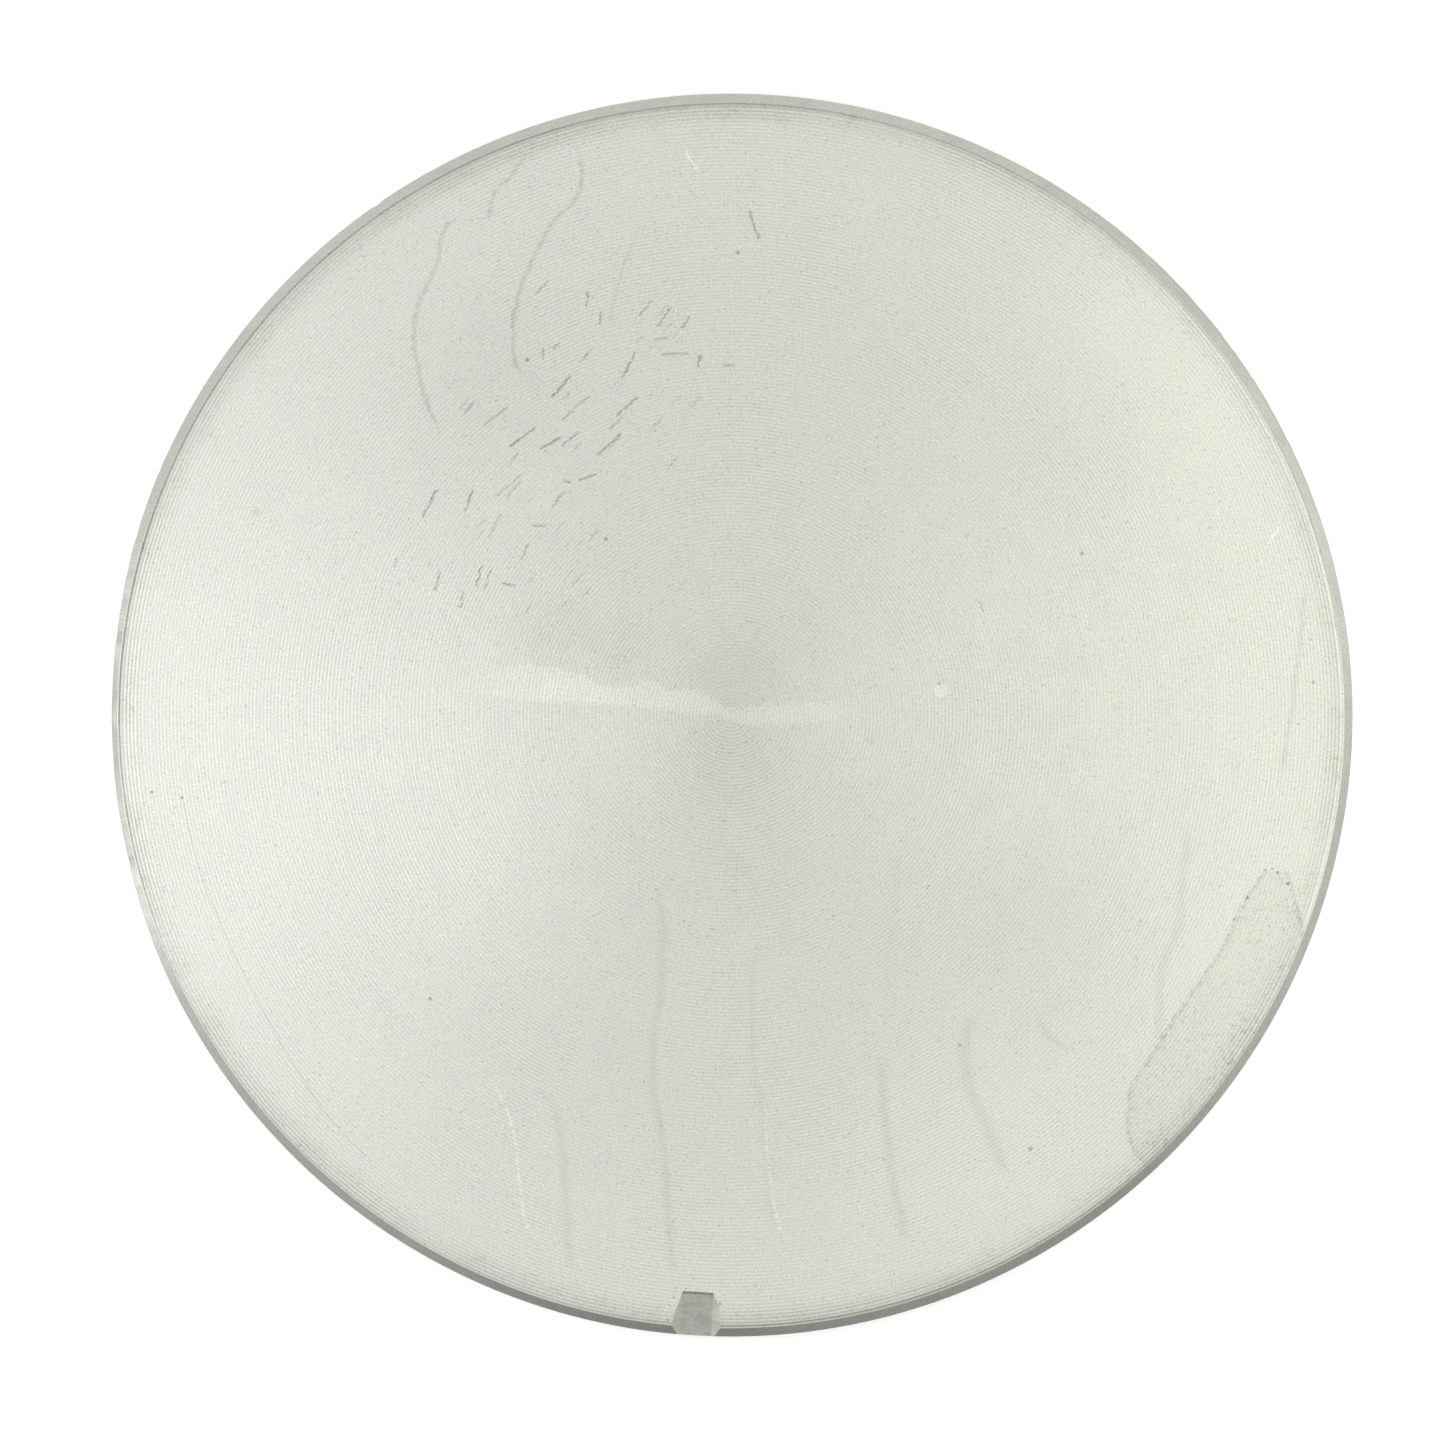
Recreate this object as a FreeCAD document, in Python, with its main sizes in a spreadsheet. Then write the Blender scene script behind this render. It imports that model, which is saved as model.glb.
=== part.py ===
"""Watch glass: a flat turned disc with a chamfered rim and one pry notch.

Millimetres. +Z up, origin at the centre of the underside, notch on -Y.
"""

import FreeCAD, Part
import os

import Sketcher

# Driving dimensions: alias, value, what it is.
DIMENSIONS = [
    ("disc_diameter", 70.0, "outside diameter"),
    ("disc_thickness", 3.0, "underside to face"),
    ("rim_chamfer", 0.5, "45 degree chamfer on both rim edges"),
    ("notch_floor_width", 1.6, "floor width, the same all along"),
    ("notch_length", 2.5, "inner end of the notch to the rim"),
    ("notch_inner_depth", 0.05, "step down from the face at the inner end"),
    ("notch_floor_slope", 14.5, "floor falling outwards, degrees"),
    ("notch_flank_angle", 52.0, "flank from the face's normal, degrees"),
    ("cutter_height", 1.5, "top of the notch cutter above the notch floor"),
    ("cutter_overrun", 1.0, "notch cutter past the rim"),
]

SHEET = "Dimensions"


def dimension_sheet(doc):
    """The spreadsheet that every sketch reads."""
    sheet = doc.addObject("Spreadsheet::Sheet", SHEET)
    for row, (alias, value, meaning) in enumerate(DIMENSIONS, start=1):
        sheet.set(f"A{row}", meaning)
        sheet.set(f"B{row}", str(value))
        sheet.setAlias(f"B{row}", alias)
    doc.recompute()
    return sheet


def origin_plane(body, role):
    """One of the body's own three planes."""
    return next(f for f in body.Origin.OriginFeatures if f.Role == role)


def new_sketch(body, name, role):
    """A sketch on one of the body's own planes."""
    sketch = body.newObject("Sketcher::SketchObject", name)
    sketch.AttachmentSupport = (origin_plane(body, role), [""])
    sketch.MapMode = "FlatFace"
    return sketch


def add_polygon(sketch, points):
    """A closed outline of straight lines, joined corner to corner.

    The points only give it its order and rough form: the constraints that follow set every size.
    """
    count = len(points)
    for i, start in enumerate(points):
        end = points[(i + 1) % count]
        segment = Part.LineSegment(FreeCAD.Vector(*start, 0), FreeCAD.Vector(*end, 0))
        sketch.addGeometry(segment, False)
    for i in range(count):
        sketch.addConstraint(Sketcher.Constraint("Coincident", i, 2, (i + 1) % count, 1))


def bind(sketch, constraint, expression):
    """A constraint whose value comes from the sheet."""
    index = sketch.addConstraint(constraint)
    sketch.setExpression(f"Constraints[{index}]", expression)


def half_section(body):
    """Half of the disc's section: underside, lower chamfer, edge, upper chamfer, face, axis."""
    sketch = new_sketch(body, "HalfSection", "XZ_Plane")
    rough_outline = [(0, 0), (34, 0), (35, 1), (35, 2), (34, 3), (0, 3)]
    add_polygon(sketch, rough_outline)
    underside, lower, edge, upper, face, axis = range(6)
    origin = -1
    sketch.addConstraint(Sketcher.Constraint("Coincident", underside, 1, origin, 1))
    for line in (underside, face):
        sketch.addConstraint(Sketcher.Constraint("Horizontal", line))
    for line in (edge, axis):
        sketch.addConstraint(Sketcher.Constraint("Vertical", line))
    bind(sketch, Sketcher.Constraint("DistanceX", origin, 1, edge, 1, 35.0), f"{SHEET}.disc_diameter / 2")
    bind(sketch, Sketcher.Constraint("DistanceY", origin, 1, face, 1, 3.0), f"{SHEET}.disc_thickness")
    bind(sketch, Sketcher.Constraint("DistanceX", lower, 1, lower, 2, 1.0), f"{SHEET}.rim_chamfer")
    bind(sketch, Sketcher.Constraint("DistanceX", upper, 2, upper, 1, 1.0), f"{SHEET}.rim_chamfer")
    for chamfer in (lower, upper):
        bind(sketch, Sketcher.Constraint("DistanceY", chamfer, 1, chamfer, 2, 1.0), f"{SHEET}.rim_chamfer")
    return sketch


def notch_section(body):
    """The cutter's section: a flat floor and two leaning flanks, open above the face.

    It stands square to the notch floor, at the notch's inner end, with the floor line on its own X axis.
    """
    sketch = new_sketch(body, "NotchSection", "XZ_Plane")
    tip_about_x = FreeCAD.Rotation(FreeCAD.Vector(1, 0, 0), 10)
    sketch.AttachmentOffset = FreeCAD.Placement(FreeCAD.Vector(), tip_about_x)
    sketch.setExpression("AttachmentOffset.Base.y", f"{SHEET}.disc_thickness - {SHEET}.notch_inner_depth")
    sketch.setExpression("AttachmentOffset.Base.z", f"{SHEET}.disc_diameter / 2 - {SHEET}.notch_length")
    sketch.setExpression("AttachmentOffset.Rotation.Angle", f"{SHEET}.notch_floor_slope * 1 deg")
    rough_outline = [(-1, 0), (1, 0), (2, 2), (-2, 2)]
    add_polygon(sketch, rough_outline)
    floor, right, top = range(3)
    origin, vertical_axis = -1, -2
    for line in (floor, top):
        sketch.addConstraint(Sketcher.Constraint("Symmetric", line, 1, line, 2, vertical_axis))
    sketch.addConstraint(Sketcher.Constraint("PointOnObject", floor, 1, -1))
    bind(sketch, Sketcher.Constraint("DistanceX", floor, 1, floor, 2, 2.0), f"{SHEET}.notch_floor_width")
    bind(sketch, Sketcher.Constraint("DistanceY", origin, 1, top, 1, 2.0), f"{SHEET}.cutter_height")
    spread = f"{SHEET}.cutter_height * tan({SHEET}.notch_flank_angle * 1 deg)"
    bind(sketch, Sketcher.Constraint("DistanceX", right, 1, right, 2, 1.0), spread)
    return sketch


def disc(doc):
    """The whole disc: a revolved blank with the notch cut outwards and down through its rim."""
    body = doc.addObject("PartDesign::Body", "Disc")
    body.Label = "disc"

    profile = half_section(body)
    blank = body.newObject("PartDesign::Revolution", "Blank")
    blank.Profile = profile
    blank.ReferenceAxis = (profile, ["V_Axis"])
    blank.Angle = 360
    doc.recompute()
    blank_volume = body.Shape.Volume

    notch = body.newObject("PartDesign::Pocket", "Notch")
    notch.Profile = notch_section(body)
    notch.Reversed = True
    notch.setExpression("Length", f"{SHEET}.notch_length + {SHEET}.cutter_overrun")
    doc.recompute()

    cut = blank_volume - body.Shape.Volume
    print(f"disc: blank {blank_volume:.1f} mm3, notch takes {cut:.3f} mm3")
    if cut <= 0:
        raise RuntimeError("the notch cut nothing")
    return body


def check(doc, parts):
    """Every object rebuilt, and every sub-part one closed valid solid."""
    for item in doc.Objects:
        if {"Invalid", "Error"} & set(item.State):
            raise RuntimeError(f"{item.Name} is in state {item.State}")
    for part in parts:
        shape = part.Shape
        if shape.isNull() or not shape.isValid():
            raise RuntimeError(f"{part.Label} has no valid shape")
        if len(shape.Solids) != 1 or not shape.Solids[0].isClosed():
            raise RuntimeError(f"{part.Label} is not one closed solid")


def main():
    doc = FreeCAD.newDocument("WatchGlass")
    dimension_sheet(doc)
    parts = [disc(doc)]
    doc.recompute()
    check(doc, parts)
    os.makedirs("parts", exist_ok=True)
    for part in parts:
        part.Shape.exportStep(f"parts/{part.Label}.step")
        box = part.Shape.BoundBox
        print(f"{part.Label}: {box.XLength:.3f} x {box.YLength:.3f} x {box.ZLength:.3f} mm")


main()
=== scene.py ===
"""Watch glass: the turned metal disc, lit softly and seen from straight above."""

import math
import random

import bmesh
import bpy
from mathutils import Matrix, Vector, noise


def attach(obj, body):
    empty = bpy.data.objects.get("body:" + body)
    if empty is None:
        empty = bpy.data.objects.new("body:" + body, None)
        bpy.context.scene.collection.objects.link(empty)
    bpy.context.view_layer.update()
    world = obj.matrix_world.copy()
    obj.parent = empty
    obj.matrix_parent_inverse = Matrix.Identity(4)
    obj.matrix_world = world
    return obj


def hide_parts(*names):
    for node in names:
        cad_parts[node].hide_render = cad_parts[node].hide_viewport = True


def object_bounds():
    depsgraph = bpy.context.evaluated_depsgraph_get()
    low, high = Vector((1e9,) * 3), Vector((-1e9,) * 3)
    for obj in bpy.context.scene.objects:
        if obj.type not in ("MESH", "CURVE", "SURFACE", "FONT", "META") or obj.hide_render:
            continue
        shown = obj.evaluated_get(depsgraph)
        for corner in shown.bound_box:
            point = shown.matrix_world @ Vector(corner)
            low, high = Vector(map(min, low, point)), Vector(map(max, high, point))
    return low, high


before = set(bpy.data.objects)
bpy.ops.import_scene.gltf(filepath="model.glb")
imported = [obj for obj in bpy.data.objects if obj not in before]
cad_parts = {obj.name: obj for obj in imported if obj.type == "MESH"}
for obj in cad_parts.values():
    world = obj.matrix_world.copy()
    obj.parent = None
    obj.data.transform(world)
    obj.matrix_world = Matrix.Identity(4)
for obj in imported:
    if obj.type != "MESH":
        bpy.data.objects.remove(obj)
cad_low, cad_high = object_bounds()

MM = 0.001
RADIUS = min(cad_high.x, cad_high.y)
FACE = cad_high.z
CHAMFER = 0.5 * MM
FLAT_EDGE = RADIUS - CHAMFER

# Turning grooves. The last few are finer in their mesh, because the rim's unevenness starts there.
PITCH = 0.203 * MM
GROOVE_DEPTH = 0.0115 * MM
GROOVES = round(FLAT_EDGE / PITCH)
EDGE_GROOVES = 8
EDGE_START = (GROOVES - EDGE_GROOVES) * PITCH
EDGE_SEGMENTS = 1024

# The notch: its inner end, the fall of its floor and the lean of its flanks.
NOTCH_LENGTH = 2.5 * MM
NOTCH_FLOOR_WIDTH = 1.6 * MM
NOTCH_INNER_DEPTH = 0.05 * MM
NOTCH_SLOPE = math.radians(14.5)
NOTCH_FLANK = math.radians(52)

# The rim's unevenness round its turn, as humps: height, the angle of its middle, half its width in degrees.
# Heights are in millimetres, or for the grooves and the lip a share of their own depth.
WIDER_CHAMFER = ((0.26, 40, 42), (0.08, 95, 55))
ROUNDED_EDGE = ((0.13, -68, 48), (0.04, 110, 70))
DEEPER_GROOVES = ((2.3, 145, 105), (1.2, -60, 50))
SHALLOWER_LIP = ((0.4, 225, 50), (1.0, 130, 60))
NICKS = ((0.1, 175.8, 0.7), (0.08, 181.4, 0.5), (0.07, 197.0, 0.6), (0.06, 128.0, 0.6))


# ---------------------------------------------------------------- mesh helpers

def turned_rings(profile, segments):
    """A surface of revolution from a line of (radius, height) points, as a mesh."""
    bm = bmesh.new()
    verts = [bm.verts.new((radius, 0, height)) for radius, height in profile]
    edges = [bm.edges.new(pair) for pair in zip(verts, verts[1:])]
    bmesh.ops.spin(bm, geom=verts + edges, cent=(0, 0, 0), axis=(0, 0, 1), angle=math.pi / 2,
                   steps=segments // 4, use_merge=False)
    quarter = bm.verts[:] + bm.edges[:] + bm.faces[:]
    for turns in (1, 2, 3):
        copy = bmesh.ops.duplicate(bm, geom=quarter)
        verts = [item for item in copy["geom"] if isinstance(item, bmesh.types.BMVert)]
        turned = Matrix.Rotation(turns * math.pi / 2, 3, "Z")
        bmesh.ops.rotate(bm, verts=verts, cent=(0, 0, 0), matrix=turned)
    bmesh.ops.remove_doubles(bm, verts=bm.verts, dist=0.0005 * MM)
    mesh = bpy.data.meshes.new("rings")
    bm.to_mesh(mesh)
    bm.free()
    return mesh


def open_edges(bm, radius, height):
    """The edges of the open ring at this radius and height."""
    tolerance = 0.001 * MM

    def on_ring(vert):
        across = math.hypot(vert.co.x, vert.co.y)
        return abs(across - radius) < tolerance and abs(vert.co.z - height) < tolerance

    return [edge for edge in bm.edges if edge.is_boundary and all(on_ring(v) for v in edge.verts)]


def join_rings(bm, inner, outer):
    """Closes the gap between two open rings, each given as (radius, height)."""
    bmesh.ops.bridge_loops(bm, edges=open_edges(bm, *inner) + open_edges(bm, *outer))


# ---------------------------------------------------------------- the disc

def groove_rings(first, last, rng):
    """The crests and valleys from groove number first up to last, as (radius, height) points.

    The grooves are shallowest at the centre, where the tool hardly cut.
    """
    full_depth_from = 26 * MM
    points = []
    for number in range(first, last):
        radius = number * PITCH
        depth = GROOVE_DEPTH * rng.uniform(0.75, 1.25) * min(1.0, 0.15 + radius / full_depth_from)
        points.append((radius, FACE))
        points.append((radius + PITCH / 2, FACE - depth))
    return points


def edge_rings(rng):
    """The last grooves, the lip, the chamfers and the start of the underside."""
    lip_width = 0.075 * MM
    lip_depth = 0.034 * MM
    break_edge = 0.03 * MM
    points = groove_rings(GROOVES - EDGE_GROOVES, GROOVES, rng)
    points[-1] = (FLAT_EDGE - lip_width, FACE - lip_depth)
    points += [
        (FLAT_EDGE, FACE),
        (FLAT_EDGE + break_edge, FACE - break_edge * 0.7),
        (RADIUS - break_edge * 0.6, FACE - CHAMFER + break_edge * 0.6),
        (RADIUS, FACE - CHAMFER - break_edge),
        (RADIUS, CHAMFER + break_edge),
        (RADIUS - break_edge, CHAMFER - break_edge * 0.6),
        (FLAT_EDGE, 0),
        (FLAT_EDGE - 0.3 * MM, 0),
    ]
    return points


def hump(angle, centre, half_width):
    """1 at centre, falling smoothly to 0 half_width degrees away from it."""
    away = abs((angle - centre + 180) % 360 - 180)
    if away >= half_width:
        return 0.0
    return 0.5 + 0.5 * math.cos(math.pi * away / half_width)


def humps(angle, table):
    """The sum of a table of humps at an angle."""
    return sum(height * hump(angle, centre, half_width) for height, centre, half_width in table)


def rim_bite(angle, teeth):
    """How far the rim's outline lies inside a true circle at an angle in degrees."""
    tooth = teeth[int(angle / 360 * len(teeth)) % len(teeth)]
    everywhere = 0.006
    chatter = 0.05 * max(hump(angle, 181, 34), 0.6 * hump(angle, 35, 30))
    hollow = 0.15 * hump(angle, 186, 26)
    return (tooth * (everywhere + chatter) + hollow + humps(angle, NICKS)) * MM


def shape_flat(vert, angle, radius, wide, rounded):
    """Last grooves and lip: deeper and rounded over at places. Returns the new radius."""
    lip = 0.1 * MM
    outward = min(1.0, (radius - EDGE_START) / (FLAT_EDGE - EDGE_START))
    deeper = humps(angle, DEEPER_GROOVES)
    if radius > FLAT_EDGE - lip:
        deeper -= humps(angle, SHALLOWER_LIP)
    vert.co.z = FACE - (FACE - vert.co.z) * (1 + deeper * outward)
    vert.co.z -= rounded * max(0.0, 1.6 * outward - 0.6) ** 2
    return radius - wide * outward


def shape_wall(vert, angle, radius, wide, teeth):
    """Outer wall: bitten, most at its top, and lower where the chamfer is wider. Returns the new radius."""
    up_the_wall = max(0.0, (vert.co.z - CHAMFER) / (FACE - 2 * CHAMFER))
    if vert.co.z > FACE / 2:
        vert.co.z -= wide
    return radius - rim_bite(angle, teeth) * min(1.0, 0.2 + 0.8 * up_the_wall)


def work_rim(bm):
    """Shapes the rim round its turn: a wider chamfer at places, deeper last grooves, and a bitten edge."""
    teeth_rng = random.Random(11)
    teeth = [teeth_rng.random() for _ in range(440)]
    for vert in bm.verts:
        radius = math.hypot(vert.co.x, vert.co.y)
        if radius < EDGE_START or vert.co.z < CHAMFER / 2:
            continue
        angle = math.degrees(math.atan2(vert.co.y, vert.co.x)) % 360
        wide = humps(angle, WIDER_CHAMFER) * MM
        rounded = (0.02 + humps(angle, ROUNDED_EDGE)) * MM
        if radius < FLAT_EDGE + 0.01 * MM:
            new_radius = shape_flat(vert, angle, radius, wide, rounded)
        elif vert.co.z > FACE - CHAMFER / 4:
            vert.co.z -= rounded
            new_radius = radius - wide
        else:
            new_radius = shape_wall(vert, angle, radius, wide, teeth)
        vert.co.x *= new_radius / radius
        vert.co.y *= new_radius / radius


def mark_edges(bm):
    """Smooth faces, parted by the groove crests and by every real corner."""
    crest = math.radians(1.6)
    corner = math.radians(22)
    for face in bm.faces:
        face.smooth = True
    for edge in bm.edges:
        fold = edge.calc_face_angle(0)
        edge.smooth = not (fold > corner or (fold > crest and edge.is_convex))


def roughen_cutter(bm):
    """Wears the notch cutter: a ragged, swollen right flank, a straighter left one, a pitted floor.

    Distances inside are in millimetres: along the notch from its inner end, and up from its floor.
    """
    floor = 0.02
    half_floor = NOTCH_FLOOR_WIDTH / 2
    for vert in bm.verts:
        along = -vert.co.y / MM
        up = vert.co.z / MM
        rough = noise.noise(vert.co / (0.25 * MM)) + 0.6 * noise.noise(vert.co / (0.09 * MM))
        if up > floor and vert.co.x > half_floor:
            swell = 0.24 * hump(along * 100, 75, 80) - 0.1 * hump(along * 100, 10, 45)
            ragged = 0.16 * noise.noise(Vector((0, along * 2.6, 4)))
            vert.co.x += (swell + ragged + 0.008 * rough) * MM * min(1.0, up / 0.4)
        elif up > floor and vert.co.x < -half_floor:
            ragged = 0.04 * noise.noise(Vector((0, along * 2.2, 9)))
            vert.co.x += (ragged + 0.01 * rough) * MM
        if up < floor:
            vert.co.z += 0.022 * rough * MM
        if along < floor:
            vert.co.y += 0.03 * noise.noise(Vector((vert.co.x / (0.3 * MM), 0, 2))) * MM


def notch_cutter():
    """The block that cuts the notch: a flat floor and two leaning flanks, worn and uneven."""
    length = 3.6 * MM
    height = 1.5 * MM
    spread = height * math.tan(NOTCH_FLANK)
    inner_end = Vector((0, -(RADIUS - NOTCH_LENGTH), FACE - NOTCH_INNER_DEPTH))
    bm = bmesh.new()
    bmesh.ops.create_cube(bm, size=1)
    bmesh.ops.scale(bm, verts=bm.verts, vec=(NOTCH_FLOOR_WIDTH, length, height))
    bmesh.ops.translate(bm, verts=bm.verts, vec=(0, -length / 2, height / 2))
    for vert in bm.verts:
        if vert.co.z > height / 2:
            vert.co.x *= 1 + 2 * spread / NOTCH_FLOOR_WIDTH
    bmesh.ops.subdivide_edges(bm, edges=bm.edges, cuts=22, use_grid_fill=True)
    roughen_cutter(bm)
    fall = Matrix.Rotation(NOTCH_SLOPE, 3, "X")
    bmesh.ops.rotate(bm, verts=bm.verts, cent=(0, 0, 0), matrix=fall)
    bmesh.ops.translate(bm, verts=bm.verts, vec=inner_end)
    bmesh.ops.recalc_face_normals(bm, faces=bm.faces)
    mesh = bpy.data.meshes.new("notch_cutter")
    bm.to_mesh(mesh)
    bm.free()
    return mesh


def cut_away(blank_mesh, cutter_mesh):
    """What is left of the blank once the cutter is taken from it, each cut face in the cutter's material."""
    blank = bpy.data.objects.new("blank", blank_mesh)
    cutter = bpy.data.objects.new("cutter", cutter_mesh)
    for item in (blank, cutter):
        bpy.context.scene.collection.objects.link(item)
    modifier = blank.modifiers.new("notch", "BOOLEAN")
    modifier.operation = "DIFFERENCE"
    modifier.solver = "EXACT"
    modifier.material_mode = "TRANSFER"
    modifier.object = cutter
    view = bpy.context.evaluated_depsgraph_get()
    mesh = bpy.data.meshes.new_from_object(blank.evaluated_get(view))
    for item in (blank, cutter):
        bpy.data.objects.remove(item)
    return mesh


def disc_zones():
    """From the centre out and round to the underside: each zone's rings, and its segments round the turn."""
    rng = random.Random(5)
    last_plain = GROOVES - EDGE_GROOVES
    zones = [(groove_rings(first, last, rng), segments)
             for first, last, segments in ((0, 20, 64), (20, 60, 128), (60, last_plain, 256))]
    zones.append((edge_rings(rng), EDGE_SEGMENTS))
    underside_step = 3 * MM
    zones.append(([(step * underside_step, 0) for step in range(11, -1, -1)], 128))
    return zones


def disc_mesh(face_material, notch_material):
    """The whole disc as one closed mesh, its notch in a material of its own."""
    zones = disc_zones()
    bm = bmesh.new()
    for points, segments in zones:
        rings = turned_rings(points, segments)
        bm.from_mesh(rings)
        bpy.data.meshes.remove(rings)
    for (inner, _), (outer, _) in zip(zones, zones[1:]):
        join_rings(bm, inner[-1], outer[0])
    work_rim(bm)
    bmesh.ops.recalc_face_normals(bm, faces=bm.faces)
    blank = bpy.data.meshes.new("blank")
    blank.materials.append(face_material)
    bm.to_mesh(blank)
    bm.free()
    cutter = notch_cutter()
    cutter.materials.append(notch_material)
    mesh = cut_away(blank, cutter)
    bm = bmesh.new()
    bm.from_mesh(mesh)
    bmesh.ops.remove_doubles(bm, verts=bm.verts, dist=0.0002 * MM)
    bmesh.ops.recalc_face_normals(bm, faces=bm.faces)
    mark_edges(bm)
    bm.to_mesh(mesh)
    bm.free()
    return mesh


# ---------------------------------------------------------------- shader helpers

class Graph:
    """Adds nodes to one node tree and wires them: an input may be a socket or a plain value."""

    def __init__(self, tree):
        self.tree = tree

    def node(self, kind, **settings):
        node = self.tree.nodes.new("ShaderNode" + kind)
        for name, value in settings.items():
            setattr(node, name, value)
        return node

    def wire(self, socket, value):
        if isinstance(value, bpy.types.NodeSocket):
            self.tree.links.new(value, socket)
        else:
            socket.default_value = value

    def math(self, operation, *values):
        node = self.node("Math", operation=operation)
        for socket, value in zip(node.inputs, values):
            self.wire(socket, value)
        return node.outputs[0]

    def vector(self, operation, *values):
        node = self.node("VectorMath", operation=operation)
        for socket, value in zip(node.inputs, values):
            self.wire(socket, value)
        gives_number = operation in ("DOT_PRODUCT", "LENGTH", "DISTANCE")
        return node.outputs["Value" if gives_number else "Vector"]

    def axes(self, vector):
        node = self.node("SeparateXYZ")
        self.wire(node.inputs[0], vector)
        return node.outputs[0], node.outputs[1], node.outputs[2]

    def point(self, *parts):
        """Three numbers as one vector."""
        node = self.node("CombineXYZ")
        for socket, value in zip(node.inputs, parts):
            self.wire(socket, value)
        return node.outputs[0]

    def colour(self, *parts):
        """Red, green and blue as one colour."""
        node = self.node("CombineColor")
        for socket, value in zip(node.inputs, parts):
            self.wire(socket, value)
        return node.outputs[0]

    def ramp(self, value, low, high, to_low=0.0, to_high=1.0, smooth=True):
        """value from low to high becomes to_low to to_high, and stays there outside."""
        node = self.node("MapRange", interpolation_type="SMOOTHSTEP" if smooth else "LINEAR")
        for name, item in zip(("Value", "From Min", "From Max", "To Min", "To Max"),
                              (value, low, high, to_low, to_high)):
            self.wire(node.inputs[name], item)
        return node.outputs["Result"]

    def fade(self, distance, near, far, strength=1.0):
        """strength where distance is under near, falling to 0 at far."""
        return self.ramp(distance, near, far, strength, 0.0)

    def mix(self, amount, first, second):
        """Two numbers mixed."""
        node = self.node("Mix", data_type="FLOAT")
        for socket, value in zip((node.inputs[0], node.inputs[2], node.inputs[3]), (amount, first, second)):
            self.wire(socket, value)
        return node.outputs[0]

    def noise(self, vector, scale, detail=2.0, rough=0.5):
        """A noise from 0 to 1, mostly near 0.5."""
        node = self.node("TexNoise")
        for name, value in (("Vector", vector), ("Scale", scale), ("Detail", detail), ("Roughness", rough)):
            self.wire(node.inputs[name], value)
        return node.outputs["Fac"]

    def swing(self, noise, amount, middle=0.0):
        """A noise as a change round middle, amount wide."""
        return self.math("MULTIPLY_ADD", noise, amount, middle - amount / 2)

    def cells(self, vector, scale):
        """Scattered points: the distance to the nearest, in cells, and that cell's own random number."""
        node = self.node("TexVoronoi")
        self.wire(node.inputs["Vector"], vector)
        self.wire(node.inputs["Scale"], scale)
        return node.outputs["Distance"], self.axes(node.outputs["Color"])[0]

    def curve(self, value, points):
        """A smooth curve through points of (value, height), level past its ends."""
        low, high = points[0][0], points[-1][0]
        floor = min(height for _, height in points)
        span = max(height for _, height in points) - floor
        spots = [((spot - low) / (high - low), (height - floor) / span) for spot, height in points]
        node = self.node("FloatCurve")
        line = node.mapping.curves[0]
        line.points[0].location = spots[0]
        line.points[1].location = spots[-1]
        for spot in spots[1:-1]:
            line.points.new(*spot)
        node.mapping.update()
        self.wire(node.inputs["Value"], self.ramp(value, low, high, smooth=False))
        return self.math("MULTIPLY_ADD", node.outputs["Value"], span, floor)

    def product(self, *values):
        total = values[0]
        for value in values[1:]:
            total = self.math("MULTIPLY", total, value)
        return total

    def total(self, *values):
        sum_so_far = values[0]
        for value in values[1:]:
            sum_so_far = self.math("ADD", sum_so_far, value)
        return sum_so_far


def new_material(name):
    """A node material, its graph, its shader and the object's own coordinates in millimetres."""
    material = bpy.data.materials.new(name)
    material.use_nodes = True
    g = Graph(material.node_tree)
    shader = material.node_tree.nodes["Principled BSDF"]
    place = g.vector("MULTIPLY", g.node("TexCoord").outputs["Object"], (1 / MM, 1 / MM, 1 / MM))
    return material, g, shader, place


def add_bump(g, shader, height, strength, distance):
    """Fine relief on the shader's normal."""
    bump = g.node("Bump")
    g.wire(bump.inputs["Strength"], strength)
    g.wire(bump.inputs["Distance"], distance)
    g.wire(bump.inputs["Height"], height)
    g.wire(shader.inputs["Normal"], bump.outputs[0])


# ---------------------------------------------------------------- marks on the face, and a painted highlight, in millimetres

# Dried drips that ran down the disc: the line of each, as points of (up the disc, across it), then its
# half width and its strength.
DARK_DRIPS = [
    ([(-21.9, -8.8), (-25.0, -8.1), (-28.3, -7.7), (-31.6, -7.2)], 0.26, 0.8),
    ([(-9.5, -3.6), (-15.4, -3.0), (-19.1, -3.3), (-24.1, -2.5), (-31.4, -1.5)], 0.28, 0.8),
    ([(-12.8, 2.1), (-17.6, 2.2), (-22.1, 3.0), (-29.1, 4.0)], 0.24, 0.45),
    ([(-7.0, 9.7), (-11.0, 9.8), (-15.2, 9.8)], 0.4, 0.3),
    ([(-18.4, 9.5), (-21.7, 9.9), (-25.6, 10.6), (-29.0, 11.6)], 0.3, 1.0),
    ([(-15.8, 14.6), (-18.6, 14.2), (-21.7, 15.4), (-24.9, 16.9)], 0.4, 1.0),
    ([(-15.6, 18.1), (-16.6, 18.6), (-17.5, 19.5), (-17.9, 21.2)], 0.4, 1.0),
    ([(-4.5, 26.0), (-10.1, 25.8), (-13.8, 25.0), (-17.4, 25.2)], 0.28, 0.8),
]
PALE_DRIPS = [
    ([(-21.0, -12.5), (-24.0, -10.9), (-26.8, -10.4), (-29.3, -9.8), (-30.0, -9.0)], 0.1, 1.0),
    ([(-21.7, 3.2), (-25.4, 3.6), (-29.2, 4.6)], 0.1, 0.9),
]
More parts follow.
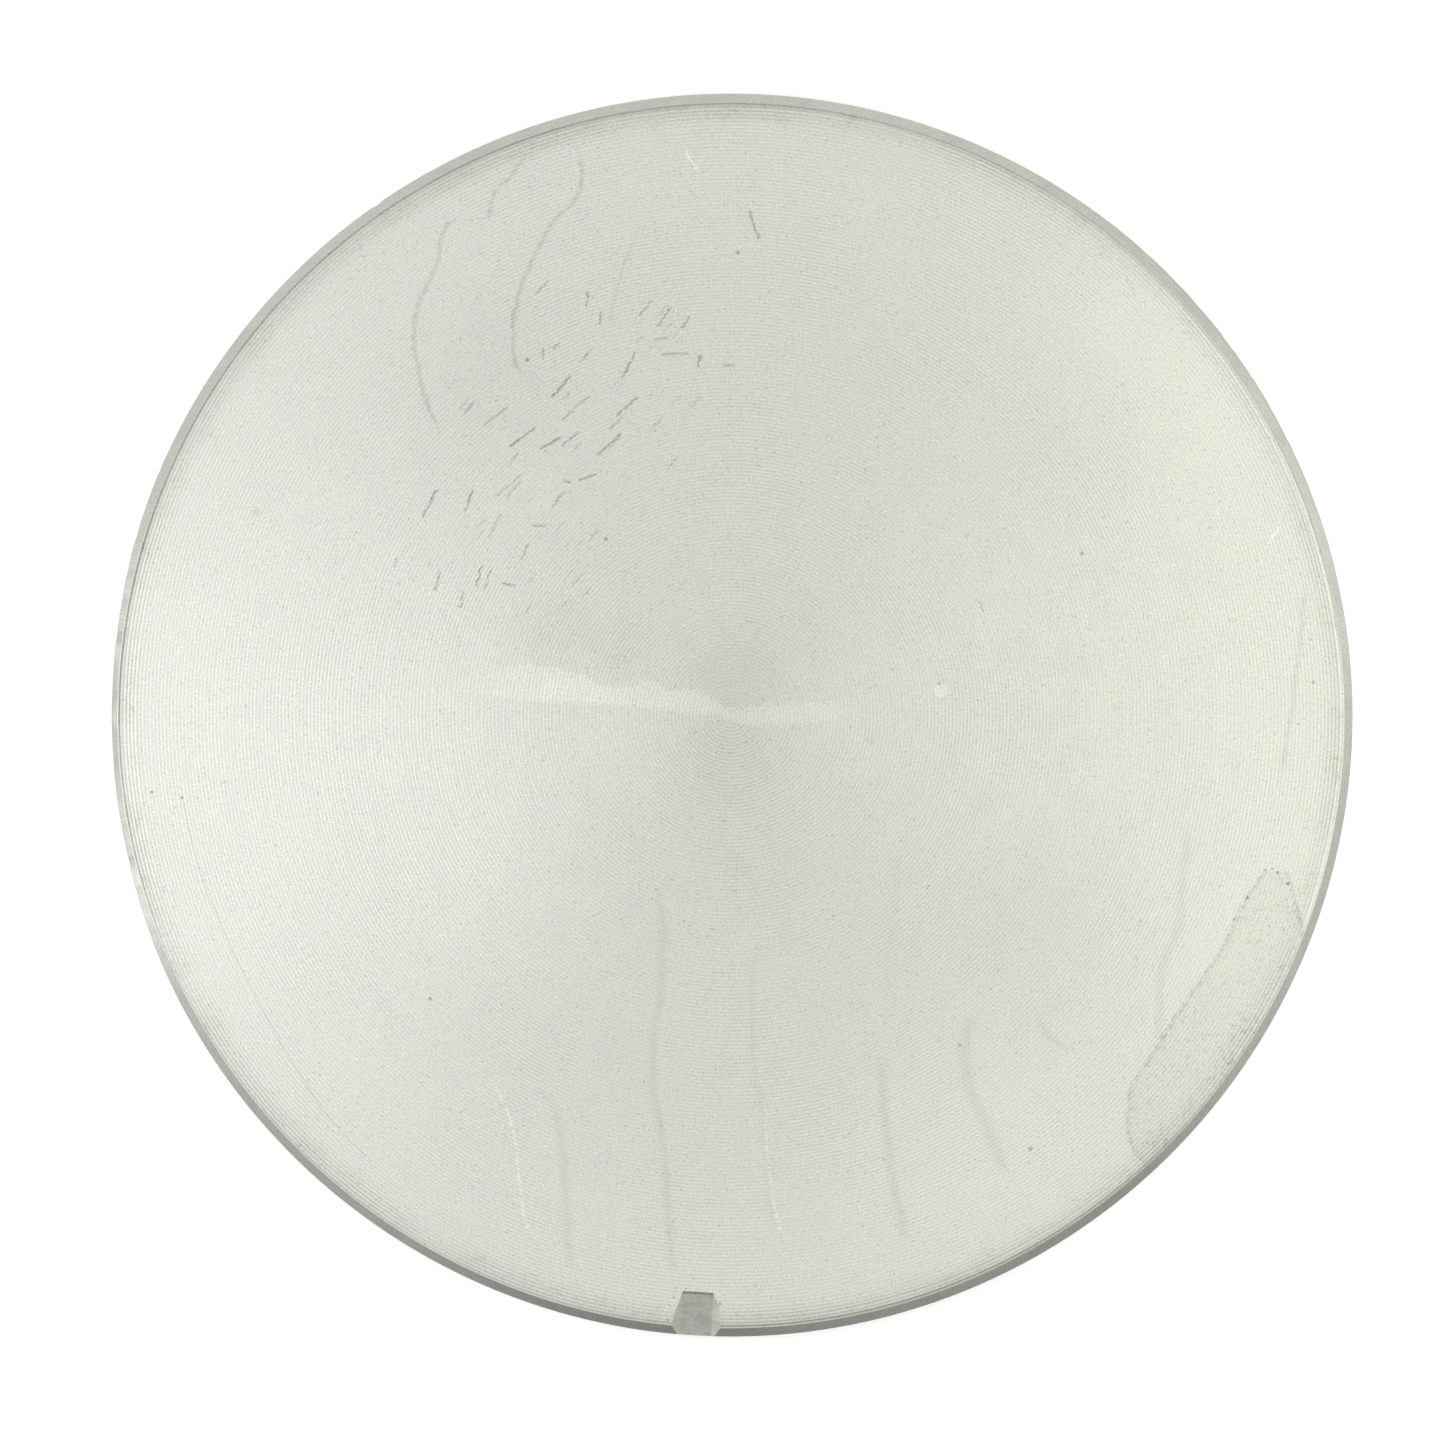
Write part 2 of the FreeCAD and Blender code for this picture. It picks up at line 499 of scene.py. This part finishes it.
# Tide lines where a puddle dried, and a line of specks by the right edge, given the same way.
TIDE_LINES = [
    ([(31.2, -13.0), (29.4, -14.2), (28.2, -15.1), (27.2, -15.3), (26.8, -17.4), (24.3, -18.0), (21.2, -19.0),
      (18.1, -18.6), (15.1, -17.3)], 0.15, 0.9),
    ([(31.6, -10.7), (29.6, -10.1), (27.2, -11.5), (24.6, -12.7), (20.9, -13.5), (18.4, -12.9)], 0.14, 1.0),
    ([(27.0, -6.6), (24.5, -7.6), (21.5, -8.1)], 0.1, 0.6),
    ([(-1.5, 31.1), (2.0, 31.5), (5.5, 31.7), (9.5, 31.9)], 0.16, 0.6),
]
# Short scratches: middle x and y, length, lean in degrees from upright towards the right, strength.
SCRATCHES = [
    (-17.6, 10.9, 1.7, 24, 1.0), (-15.4, 11.2, 1.2, 16, 0.9), (-14.6, 7.0, 1.2, 14, 0.9),
    (-14.1, 6.9, 1.1, 16, 0.7), (-12.9, 6.6, 0.6, 100, 0.9), (-16.9, 6.6, 0.9, 12, 0.8),
    (-19.3, 7.5, 0.5, 14, 0.7), (-15.5, 5.6, 0.8, 5, 0.7), (-12.6, 14.9, 1.7, 50, 0.9),
    (-10.6, 17.9, 1.5, 38, 1.0), (-11.0, 14.7, 1.3, 54, 0.9), (-9.9, 15.0, 1.2, 46, 0.8),
    (-6.8, 19.5, 1.1, 24, 1.0), (-5.0, 22.2, 1.2, 32, 0.9), (-6.1, 22.6, 1.0, 38, 0.7),
    (-3.8, 21.9, 0.7, 30, 0.8), (-6.8, 17.0, 1.5, 44, 0.9), (-7.4, 16.0, 0.9, 40, 0.7),
    (-7.7, 14.8, 1.7, 44, 0.9), (-8.8, 12.9, 0.9, 66, 0.9), (-10.0, 12.6, 0.4, 110, 0.9),
    (-10.4, 11.6, 1.0, 36, 0.8), (-11.4, 10.0, 0.7, 92, 0.8), (-12.1, 8.5, 0.9, 18, 0.7),
    (-13.9, 9.9, 1.4, 24, 0.5), (-8.6, 21.9, 0.6, 8, 0.8), (-11.0, 20.2, 0.5, 40, 0.8),
    (-11.7, 19.7, 0.5, 0, 0.7), (-9.4, 22.9, 0.8, 6, 0.8), (-12.0, 23.4, 0.9, 42, 0.7),
    (-5.1, 20.9, 0.7, 82, 0.6), (-4.3, 20.1, 1.4, 84, 0.6), (-2.9, 19.8, 0.6, 8, 0.9),
    (-1.2, 19.6, 0.6, 78, 0.7), (-14.2, 16.0, 1.6, 48, 0.6), (-13.2, 12.2, 1.7, 46, 0.5),
    (-0.3, 27.6, 1.6, -22, 0.9), (-12.9, 12.0, 1.0, 40, 0.5), (-9.7, 16.8, 2.0, 46, 0.6),
    (13.7, 6.9, 0.5, -30, 0.7), (29.9, 11.8, 1.1, 32, -0.35), (-4.0, 31.0, 1.1, -40, -0.5),
]
# Spots of dirt: x, y, radius, strength.
SPOTS = [
    (19.2, 10.2, 0.11, 1.0), (-1.1, 26.0, 0.14, 0.9), (-27.3, 9.9, 0.34, 0.22), (18.2, -23.4, 0.14, 0.9),
    (-32.3, -6.2, 0.1, 1.0), (-30.6, -6.4, 0.09, 1.0), (-16.0, -16.9, 0.13, 0.8), (13.9, -17.8, 0.1, 0.8),
    (-7.6, 9.5, 0.12, 1.0), (-12.6, 19.3, 0.14, 0.9), (-1.4, 9.0, 0.07, 0.7), (5.0, 28.0, 0.08, 0.6),
    (31.3, 10.6, 0.08, 0.5), (32.3, 6.1, 0.09, 0.6), (31.9, 1.3, 0.08, 0.6), (33.6, -1.2, 0.08, 0.6),
    (-1.35, -32.9, 0.07, 0.9), (-1.6, -33.3, 0.06, 0.6), (-1.62, -34.2, 0.08, 0.8), (1.25, -33.1, 0.09, 1.0),
    (11.6, 2.42, 0.14, 0.5), (31.8, -7.7, 0.1, 1.0), (28.9, -9.9, 0.08, 0.8), (27.5, -12.9, 0.08, 0.7),
    (30.9, -6.9, 0.08, 0.9), (32.6, 3.7, 0.12, 0.7), (31.2, -7.1, 0.1, 1.0), (30.5, -7.0, 0.09, 0.9),
    (29.6, -8.6, 0.09, 0.9),
]
# Broad patches a little darker (or, below zero, lighter) than the rest: x, y, radius, strength.
PATCHES = [
    (-10.5, 3.9, 2.6, 1.1), (-6.6, 3.3, 2.4, 0.9), (-15.0, 18.4, 5.5, 0.7), (19.5, 17.6, 6.0, 0.6),
    (4.0, 3.5, 5.0, 0.5), (-13.0, -11.5, 7.0, -0.6), (18.0, -10.5, 6.5, 0.55), (1.0, -8.0, 5.0, 0.4),
    (-20.0, -3.0, 7.0, -0.4), (-27.0, 8.0, 7.0, 0.2), (14.0, -23.5, 9.0, -1.0), (23.0, 22.0, 9.0, -0.9),
]
# The dried splash by the rim: its left and right edges, as points of (up the disc, across it).
STAIN_LEFT = [
    (-23.9, 25.2), (-22.9, 23.9), (-20.3, 23.6), (-18.0, 24.6), (-14.0, 26.9), (-11.3, 28.5), (-9.0, 29.4),
    (-7.0, 30.6),
]
STAIN_RIGHT = [(-13.2, 35.2), (-11.2, 33.2), (-9.0, 32.4), (-7.0, 31.7)]
# The painted highlight: a bright band across the centre, where the turning's reflection line falls, put into
# the colour; its upper and lower edges, as points of (across the disc, up it).
HIGHLIGHT_TOP = [
    (-14.0, 1.85), (-11.9, 2.15), (-8.8, 2.0), (-7.1, 1.3), (-5.8, 1.25), (-4.6, 1.85), (-3.7, 1.3),
    (-2.0, 1.25), (-1.0, 0.7), (0.0, 0.6), (2.0, 0.75), (4.1, 1.05), (7.2, 0.9),
]
HIGHLIGHT_BOTTOM = [
    (-14.0, 0.0), (-11.9, 0.1), (-8.8, 0.15), (-5.8, 0.1), (-3.7, 0.05), (-2.0, -0.15), (-0.9, 0.0),
    (0.0, -0.55), (2.0, -0.55), (4.1, -0.3), (7.2, 0.3),
]
# A long scratch at the lower left: its distance from the centre at each angle, in radians below -X.
ARC_TRACK = [(0.18, 31.25), (0.35, 31.1), (0.55, 31.05), (0.70, 31.4), (0.85, 32.0), (1.0, 32.35)]
# The middle of the small pale ring, right of the disc's centre.
RING_DOT = (11.7, 2.05, 0)

# How much each kind of mark takes from the metal's tone, or adds to it, at full strength. The groove bottoms
# and the outer rim of the face take painted shade, not marks.
DARKENS = {
    "drips": 0.085, "tides": 0.2, "stain": 0.035, "stain_grit": 0.13, "stain_edge": 0.2, "scratches": 0.4,
    "hairs": 0.34, "spots": 0.5, "patches": 0.05, "arc": 0.16, "pits": 0.2, "rim_dirt": 0.16, "grooves": 0.11,
    "rim_shade": 0.06,
}
# The bright band across the centre is a painted highlight, not a mark on the metal.
LIGHTENS = {"pale_drips": 0.16, "painted_highlight": 0.085, "ring_dot": 0.14}


def run_line(g, upward, across, line, width, strength):
    """A line that runs up the disc through points of (upward, across), soft at its sides and ends."""
    points = sorted(line)
    bottom, top = points[0][0], points[-1][0]
    away = g.math("ABSOLUTE", g.math("SUBTRACT", across, g.curve(upward, points)))
    body = g.fade(away, 0.0, width * 1.6, strength)
    low_end = g.ramp(upward, bottom - 0.2, bottom + 0.6)
    high_end = g.fade(upward, top - 1.4, top + 0.2)
    return g.product(body, low_end, high_end)


def line_marks(g, upward, across, lines):
    """The sum of a table of lines."""
    return g.total(*[run_line(g, upward, across, *line) for line in lines])


def scratch_group():
    """A node group: how strongly a point lies on one short straight scratch."""
    tree = bpy.data.node_groups.new("scratch", "ShaderNodeTree")
    inputs = {"Place": "Vector", "Middle": "Vector", "Along": "Vector", "Half": "Float", "Strength": "Float"}
    for name, kind in inputs.items():
        tree.interface.new_socket(name, in_out="INPUT", socket_type="NodeSocket" + kind)
    tree.interface.new_socket("Mark", in_out="OUTPUT", socket_type="NodeSocketFloat")
    g = Graph(tree)
    given = tree.nodes.new("NodeGroupInput").outputs
    offset = g.vector("SUBTRACT", given["Place"], given["Middle"])
    travel = g.vector("DOT_PRODUCT", offset, given["Along"])
    start = g.math("MULTIPLY", given["Half"], -1.0)
    held = g.math("MINIMUM", g.math("MAXIMUM", travel, start), given["Half"])
    nearest = g.node("VectorMath", operation="SCALE")
    g.wire(nearest.inputs[0], given["Along"])
    g.wire(nearest.inputs["Scale"], held)
    away = g.vector("LENGTH", g.vector("SUBTRACT", offset, nearest.outputs[0]))
    mark = g.math("MULTIPLY", g.fade(away, 0.02, 0.11), given["Strength"])
    result = tree.nodes.new("NodeGroupOutput")
    tree.links.new(mark, result.inputs["Mark"])
    return tree


def scratch_marks(g, place):
    """Every scratch of the table, each one a use of the same node group."""
    tree = scratch_group()
    marks = []
    for x, y, length, lean, strength in SCRATCHES:
        node = g.node("Group")
        node.node_tree = tree
        g.wire(node.inputs["Place"], place)
        turn = math.radians(lean)
        node.inputs["Middle"].default_value = (x, y, 0)
        node.inputs["Along"].default_value = (math.sin(turn), math.cos(turn), 0)
        node.inputs["Half"].default_value = length / 2
        node.inputs["Strength"].default_value = strength
        marks.append(node.outputs[0])
    return g.total(*marks)


def spot_marks(g, flat, spots, core):
    """Round marks, at full strength within core of their radius and soft beyond it."""
    marks = []
    for x, y, radius, strength in spots:
        away = g.vector("DISTANCE", flat, (x, y, 0))
        marks.append(g.fade(away, radius * core, radius * 1.3, strength))
    return g.total(*marks)


def stain_marks(g, x, y, wobble, grain):
    """The dried splash by the rim: its dull inside and its dotted edge."""
    shifted = g.total(x, wobble)
    past_left = g.math("SUBTRACT", shifted, g.curve(y, STAIN_LEFT))
    short_of_right = g.math("SUBTRACT", g.curve(y, STAIN_RIGHT), shifted)
    depth = g.math("MINIMUM", past_left, short_of_right)
    span = g.product(g.ramp(y, -24.3, -23.5), g.fade(g.total(y, wobble), -7.2, -6.8))
    inside = g.product(g.ramp(depth, -0.05, 0.25), span)
    line = g.product(g.fade(g.math("ABSOLUTE", depth), 0.0, 0.26), span)
    dotted = g.product(line, g.ramp(grain, 0.42, 0.6))
    return inside, g.total(g.product(line, 0.3), dotted)


def painted_highlight_band(g, x, y, wobble, small_wobble):
    """Painted highlight: the bright reflection band across the centre, ragged along its upper side and weaker
    to the right.
    """
    top = g.total(g.curve(x, HIGHLIGHT_TOP), g.math("MULTIPLY", wobble, 0.9), small_wobble)
    bottom = g.math("MULTIPLY_ADD", wobble, 0.5, g.curve(x, HIGHLIGHT_BOTTOM))
    under_top = g.math("SUBTRACT", top, y)
    over_bottom = g.math("SUBTRACT", y, bottom)
    band = g.product(g.ramp(under_top, -0.05, 0.2), g.ramp(over_bottom, -0.1, 0.25))
    ends = g.product(g.ramp(x, -15.5, -9.5), g.fade(x, 5.0, 8.0))
    return g.product(band, ends, g.ramp(x, -2.0, 0.4, 1.0, 0.75))


def arc_marks(g, x, y, radius, grain):
    """One long thin broken scratch that nearly follows the rim, lower left."""
    angle = g.math("ARCTAN2", g.math("MULTIPLY", y, -1.0), g.math("MULTIPLY", x, -1.0))
    away = g.math("ABSOLUTE", g.math("SUBTRACT", radius, g.curve(angle, ARC_TRACK)))
    ends = g.product(g.ramp(angle, 0.19, 0.22), g.fade(angle, 0.93, 0.98))
    broken = g.ramp(grain, 0.35, 0.6, 0.15, 1.0)
    return g.product(g.fade(away, 0.0, 0.09), ends, broken)


def pit_marks(g, flat):
    """Small pits all over, in two sizes of cell, each pit as strong as its cell's own number."""
    marks = []
    for cells_per_mm, size in ((1.1, 0.14), (3.1, 0.3)):
        away, lot = g.cells(flat, cells_per_mm)
        chosen = g.ramp(lot, 0.4, 1.0, smooth=False)
        marks.append(g.product(g.fade(away, size * 0.3, size), chosen))
    return g.total(*marks)


def hair_marks(g, flat):
    """Faint short scratches in the same lean as the bold ones, in one patch of the upper left."""
    turn = g.node("VectorRotate", rotation_type="Z_AXIS")
    g.wire(turn.inputs["Vector"], flat)
    g.wire(turn.inputs["Angle"], math.radians(36))
    narrow_cells = g.vector("MULTIPLY", turn.outputs[0], (3.4, 0.42, 0))
    away, lot = g.cells(narrow_cells, 1.0)
    from_patch = g.vector("SUBTRACT", flat, (-9.5, 15.0, 0))
    reach = g.vector("LENGTH", g.vector("MULTIPLY", from_patch, (0.1, 0.08, 0)))
    return g.product(g.fade(away, 0.12, 0.34), g.ramp(lot, 0.6, 1.0), g.fade(reach, 0.6, 1.0))


def ring_dot(g, flat):
    """The small pale ring, with its filled middle."""
    away = g.vector("DISTANCE", flat, RING_DOT)
    ring = g.fade(g.math("ABSOLUTE", g.math("SUBTRACT", away, 0.3)), 0.02, 0.12)
    core = g.fade(away, 0.05, 0.3, 0.9)
    return g.total(ring, core)


def groove_lines(g, radius):
    """1 along the bottom of each turning groove, 0 along its crests: where painted groove shade goes."""
    phase = g.math("FRACT", g.math("DIVIDE", radius, PITCH / MM))
    return g.fade(g.math("ABSOLUTE", g.math("SUBTRACT", phase, 0.5)), 0.0, 0.4)


class Grains:
    """The noises that several marks share, from the broadest to the finest, and the sways made of them."""

    def __init__(self, g, flat):
        self.cloud = g.noise(flat, 0.11, 3.0, 0.55)
        self.mottle = g.noise(flat, 0.6, 3.0, 0.6)
        self.grain = g.noise(flat, 3.2, 2.0, 0.6)
        self.dust = g.noise(flat, 9.0, 1.0, 0.5)
        self.wobble = g.swing(self.mottle, 0.9)
        self.small_wobble = g.swing(self.grain, 0.4)
        self.sway = g.math("ADD", g.math("MULTIPLY", self.wobble, 0.5), self.small_wobble)


def dark_marks(g, n, x, y, flat, radius, inside, stain_edge):
    """Everything that darkens the face: stains, scratches, dirt and pits, and painted shade along the groove
    bottoms and over the outer rim.
    """
    swayed = g.math("ADD", x, n.sway)
    specks = g.math("MULTIPLY_ADD", n.dust, 0.5, g.math("MULTIPLY", n.grain, 0.5))
    broken = g.ramp(specks, 0.4, 0.6, 0.1, 1.5)
    shaken = g.point(g.math("MULTIPLY_ADD", n.small_wobble, 1.3, x), g.math("MULTIPLY_ADD", n.wobble, 0.5, y))
    dirt_places = g.product(g.ramp(n.mottle, 0.45, 0.7), g.ramp(n.grain, 0.4, 0.65))
    patchy = g.ramp(n.cloud, 0.35, 0.65, 0.6, 1.4)
    marks = {
        "drips": g.product(line_marks(g, y, swayed, DARK_DRIPS), g.math("MULTIPLY_ADD", broken, 0.8, 0.35)),
        "tides": g.product(line_marks(g, y, swayed, TIDE_LINES), broken),
        "stain": inside,
        "stain_grit": g.product(inside, g.ramp(n.grain, 0.5, 0.7)),
        "stain_edge": stain_edge,
        "scratches": g.product(scratch_marks(g, shaken), g.ramp(n.grain, 0.3, 0.6, 0.55, 1.2)),
        "hairs": hair_marks(g, shaken),
        "spots": spot_marks(g, flat, SPOTS, 0.3),
        "patches": spot_marks(g, flat, PATCHES, 0.1),
        "arc": arc_marks(g, x, y, radius, n.grain),
        "pits": pit_marks(g, flat),
        "rim_dirt": g.product(g.ramp(radius, 31.0, 34.4), dirt_places),
        # Painted shade: darker along the groove bottoms, more towards the rim, and darker over the face's
        # outer rim.
        "grooves": g.product(groove_lines(g, radius), patchy, g.ramp(radius, 32.8, 34.4, 1.0, 2.2)),
        "rim_shade": g.ramp(radius, 33.0, 34.5),
    }
    return g.total(*[g.product(mark, DARKENS[name]) for name, mark in marks.items()])


def light_marks(g, n, x, y, flat, radius):
    """Everything that lightens the face, and its even variation, with a painted highlight across the centre
    and painted light that grows towards the rim.
    """
    pale = line_marks(g, y, g.math("ADD", x, n.small_wobble), PALE_DRIPS)
    marks = {
        "pale_drips": g.product(pale, g.ramp(n.grain, 0.42, 0.56, 0.1, 1.0)),
        # Painted highlight: the reflection band across the centre, as lighter colour.
        "painted_highlight": painted_highlight_band(g, x, y, n.wobble, n.small_wobble),
        "ring_dot": ring_dot(g, flat),
    }
    # Painted shade and light: the face darker at its centre and paler outwards, as the light falls on the
    # turned metal.
    painted_shade_centre = g.ramp(radius, 0.0, 7.0, -0.025, 0.042)
    painted_light_outside = g.ramp(radius, 20.0, 33.0, 0.0, 0.045)
    return g.total(
        *[g.product(mark, LIGHTENS[name]) for name, mark in marks.items()],
        painted_shade_centre,
        painted_light_outside,
        g.swing(n.cloud, 0.10),
        g.swing(n.mottle, 0.06),
        g.swing(n.grain, 0.12),
        g.swing(n.dust, 0.5),
    )


def rim_tone(g, n, x, y, z, radius, under):
    """The chamfer's tone, and below it the lathe lines that run round the wall and the underside."""
    chamfer = g.total(g.swing(n.mottle, 0.3, -0.02), g.swing(n.dust, 0.5))
    drift = g.math("MULTIPLY_ADD", x, 0.02, g.math("MULTIPLY", y, 0.014))
    lathe_lines = g.noise(g.point(radius, z, drift), 5.0, 3.0, 0.65)
    below = g.total(
        g.swing(lathe_lines, 0.6, -0.06),
        g.swing(n.mottle, 0.12, 0.06),
        g.swing(n.grain, 0.1),
        # Painted shade along the groove bottoms on the flat underside.
        g.product(groove_lines(g, radius), under, -0.1),
    )
    return g.mix(g.ramp(z, FACE / MM - 0.65, FACE / MM - 0.5), below, chamfer)


def turned_material():
    """Pale metal, turned all over: stained and scratched on its face, plain below."""
    material, g, shader, place = new_material("turned_face")
    flat = g.vector("MULTIPLY", place, (1, 1, 0))
    x, y, z = g.axes(place)
    radius = g.vector("LENGTH", flat)
    on_face = g.product(g.ramp(z, FACE / MM - 0.2, FACE / MM - 0.12), g.fade(radius, 34.45, 34.55))
    under = g.fade(z, 0.02, 0.06)
    n = Grains(g, flat)

    inside, stain_edge = stain_marks(g, x, y, g.math("MULTIPLY", n.sway, 0.8), n.grain)
    dark = dark_marks(g, n, x, y, flat, radius, inside, stain_edge)
    light = light_marks(g, n, x, y, flat, radius)
    change = g.mix(on_face, rim_tone(g, n, x, y, z, radius, under), g.math("SUBTRACT", light, dark))
    tone = g.math("ADD", change, 1.0)
    warm = g.math("MULTIPLY_ADD", g.ramp(x, -30, 30), 0.02, g.swing(n.mottle, 0.06, -0.01))
    red = g.math("MULTIPLY_ADD", warm, 0.3, 0.632)
    green = 0.643
    blue = g.math("MULTIPLY_ADD", warm, -1.0, 0.581)
    base = g.colour(g.product(tone, red), g.product(tone, green), g.product(tone, blue))
    g.wire(shader.inputs["Base Color"], base)

    # The rougher way of the metal is across the grooves, so its highlights spread to the left and right.
    g.wire(shader.inputs["Tangent"], g.vector("NORMALIZE", flat))
    g.wire(shader.inputs["Anisotropic"], 0.45)
    g.wire(shader.inputs["Metallic"], 1.0)
    outward = g.ramp(radius, 0.0, RADIUS / MM, 0.235, 0.5, smooth=False)
    turned = g.total(outward, g.product(inside, 0.05), g.swing(n.mottle, 0.06))
    chamfer_roughness = 0.36
    is_turned = g.math("MAXIMUM", on_face, under)
    g.wire(shader.inputs["Roughness"], g.mix(is_turned, chamfer_roughness, turned))

    fine = g.product(g.noise(flat, 7.0, 2.0, 0.6), 0.6)
    broad = g.product(g.noise(flat, 1.8, 1.0, 0.5), 0.5)
    add_bump(g, shader, g.math("ADD", fine, broad), g.ramp(radius, 0.0, 14.0, 0.12, 0.5), 0.01 * MM)
    return material


def notch_material():
    """Raw, granular metal where the notch was struck, with a painted shadow line along its inner end."""
    material, g, shader, place = new_material("notch_metal")
    x, y, _ = g.axes(place)
    grit = g.noise(place, 5.5, 3.0, 0.65)
    blotch = g.noise(place, 1.6, 2.0, 0.5)
    right_flank = g.ramp(x, 0.78, 0.92)
    left_flank = g.fade(x, -0.92, -0.78)
    # Painted shadow: a dark line along the notch's inner end, by its small step.
    inner_end_shadow = g.ramp(y, -32.72, -32.58)
    tone = g.total(
        g.swing(grit, 0.22),
        g.swing(blotch, 0.16),
        0.42,
        g.product(right_flank, 0.1),
        g.product(left_flank, 0.06),
        g.product(inner_end_shadow, -0.18),
    )
    g.wire(shader.inputs["Base Color"], g.colour(tone, g.product(tone, 1.01), g.product(tone, 0.92)))
    g.wire(shader.inputs["Metallic"], 0.9)
    g.wire(shader.inputs["Roughness"], g.math("MULTIPLY_ADD", grit, 0.3, 0.45))
    add_bump(g, shader, grit, 0.8, 0.03 * MM)
    return material


def add_disc():
    """The one piece of the model."""
    mesh = disc_mesh(turned_material(), notch_material())
    disc = bpy.data.objects.new("turned_disc", mesh)
    bpy.context.scene.collection.objects.link(disc)
    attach(disc, "root")
    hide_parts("disc")


# ---------------------------------------------------------------- studio

def add_camera():
    """Straight above the disc, turned a little, and a little off its centre."""
    height = 700 * MM
    seen_width = 81.3 * MM
    aside = Vector((-0.48 * MM, -0.42 * MM, 0))
    roll = math.radians(3.26)
    data = bpy.data.cameras.new("camera")
    data.sensor_width = 36
    data.lens = data.sensor_width * height / seen_width
    data.clip_start = 0.01
    data.clip_end = 10
    camera = bpy.data.objects.new("camera", data)
    camera.location = Matrix.Rotation(roll, 3, "Z") @ aside + Vector((0, 0, FACE + height))
    camera.rotation_euler = (0, 0, roll)
    bpy.context.scene.collection.objects.link(camera)
    bpy.context.scene.camera = camera


def floor_material():
    """Pale and self-lit, so that no shadow shows, and clear from below, so that the underside can be seen."""
    material = bpy.data.materials.new("pale_floor")
    material.use_nodes = True
    g = Graph(material.node_tree)
    shader = material.node_tree.nodes["Principled BSDF"]
    shader.inputs["Base Color"].default_value = (0.9, 0.9, 0.9, 1)
    shader.inputs["Roughness"].default_value = 0.9
    shader.inputs["Emission Color"].default_value = (1, 1, 1, 1)
    shader.inputs["Emission Strength"].default_value = 0.28
    one_sided = g.node("MixShader")
    g.wire(one_sided.inputs[0], g.node("NewGeometry").outputs["Backfacing"])
    g.wire(one_sided.inputs[1], shader.outputs[0])
    g.wire(one_sided.inputs[2], g.node("BsdfTransparent").outputs[0])
    g.wire(material.node_tree.nodes["Material Output"].inputs["Surface"], one_sided.outputs[0])
    return material


def add_floor():
    """A hair below the disc, and kept out of the metal's reflections."""
    half_width = 2
    gap = 0.02 * MM
    bm = bmesh.new()
    bmesh.ops.create_grid(bm, x_segments=1, y_segments=1, size=half_width)
    mesh = bpy.data.meshes.new("floor")
    bm.to_mesh(mesh)
    bm.free()
    mesh.materials.append(floor_material())
    floor = bpy.data.objects.new("floor", mesh)
    floor.location.z = -gap
    floor.visible_glossy = False
    bpy.context.scene.collection.objects.link(floor)


def add_softbox(name, place, size, power):
    """A soft rectangular light that faces the disc."""
    data = bpy.data.lights.new(name, "AREA")
    data.shape = "RECTANGLE"
    data.size, data.size_y = size
    data.energy = power
    light = bpy.data.objects.new(name, data)
    light.location = place
    light.rotation_euler = Vector(place).to_track_quat("Z", "Y").to_euler()
    light.visible_camera = False
    bpy.context.scene.collection.objects.link(light)


def add_surround():
    """White overhead and grey round the sides: darkest to the lower right, paler to the upper right."""
    world = bpy.data.worlds.new("studio")
    world.use_nodes = True
    g = Graph(world.node_tree)
    direction = g.vector("NORMALIZE", g.node("TexCoord").outputs["Generated"])
    x, y, z = g.axes(direction)
    squares = g.math("SUBTRACT", g.math("MULTIPLY", x, x), g.math("MULTIPLY", y, y))
    slope = g.math("MULTIPLY_ADD", y, 0.27, g.math("MULTIPLY_ADD", x, -0.15, 0.57))
    toward_dark = g.math("MULTIPLY_ADD", x, 0.26, g.math("MULTIPLY", y, -0.966))
    toward_pale = g.math("MULTIPLY_ADD", x, 0.82, g.math("MULTIPLY", y, 0.57))
    side = g.total(
        g.math("MULTIPLY_ADD", squares, 0.05, slope),
        g.ramp(toward_dark, -0.3, 0.25, 0.0, 0.07),
        g.ramp(toward_dark, 0.72, 0.97, 0.0, -0.15),
        g.ramp(toward_pale, 0.3, 0.95, 0.0, 0.14),
    )
    overhead = g.ramp(z, 0.2, 0.85)
    background = world.node_tree.nodes["Background"]
    g.wire(background.inputs["Color"], (1, 1, 1, 1))
    g.wire(background.inputs["Strength"], g.mix(overhead, side, 0.995))
    bpy.context.scene.world = world


def add_lights():
    """One soft box at the left, two at the right, and the surround."""
    add_softbox("left_softbox", (-0.15, -0.022, 0.09), (0.11, 0.32), 0.131)
    add_softbox("upper_right_softbox", (0.146, 0.055, 0.098), (0.11, 0.16), 0.058)
    add_softbox("lower_right_softbox", (0.145, -0.055, 0.105), (0.1, 0.13), 0.052)
    add_surround()


def main():
    bpy.context.scene.view_settings.view_transform = "Standard"
    add_disc()
    add_camera()
    add_floor()
    add_lights()


main()
